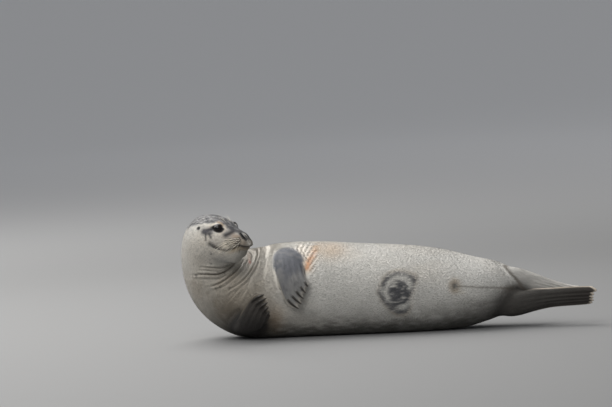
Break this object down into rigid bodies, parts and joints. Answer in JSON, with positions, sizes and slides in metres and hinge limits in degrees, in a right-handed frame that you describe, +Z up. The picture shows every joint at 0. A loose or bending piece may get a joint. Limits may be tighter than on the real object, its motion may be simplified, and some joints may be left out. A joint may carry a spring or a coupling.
{
  "type": "harbour seal",
  "caption": "Harbour seal resting on its right side with its head raised and turned, foreflippers folded over the chest and hind flippers held together behind it.",
  "frame": {"origin": "middle of the seal's base on the floor, under the middle of its bounding box", "axes": "+X runs from the head to the hind flippers, the belly faces -Y and the back +Y, +Z is up, and the floor is z = 0"},
  "size_m": [1.5563, 0.4625, 0.4809],
  "materials": {
    "pale_coat": "short pale fur, darker towards the floor",
    "dark_coat": "short dark fur over the flippers",
    "claw_horn": "dark horn",
    "wet_eye": "wet and glossy"
  },
  "bodies": {
    "root": {"rump": "pale_coat", "loins": "pale_coat", "belly": "pale_coat", "chest": "pale_coat", "shoulders": "pale_coat", "neck": "pale_coat", "head": "pale_coat", "lower_jaw": "pale_coat", "tail": "pale_coat", "foreflipper_left": "dark_coat", "foreflipper_right": "dark_coat", "hindflipper_left": "dark_coat", "hindflipper_right": "dark_coat", "claw_foreflipper_left_1": "claw_horn", "claw_foreflipper_left_2": "claw_horn", "claw_foreflipper_left_3": "claw_horn", "claw_foreflipper_left_4": "claw_horn", "claw_foreflipper_left_5": "claw_horn", "claw_foreflipper_right_1": "claw_horn", "claw_foreflipper_right_2": "claw_horn", "claw_foreflipper_right_3": "claw_horn", "claw_foreflipper_right_4": "claw_horn", "claw_foreflipper_right_5": "claw_horn", "claw_hindflipper_left_1": "claw_horn", "claw_hindflipper_left_2": "claw_horn", "claw_hindflipper_left_3": "claw_horn", "claw_hindflipper_left_4": "claw_horn", "claw_hindflipper_left_5": "claw_horn", "claw_hindflipper_right_1": "claw_horn", "claw_hindflipper_right_2": "claw_horn", "claw_hindflipper_right_3": "claw_horn", "claw_hindflipper_right_4": "claw_horn", "claw_hindflipper_right_5": "claw_horn", "eye_left": "wet_eye", "eye_right": "wet_eye"}
  },
  "joints": []
}
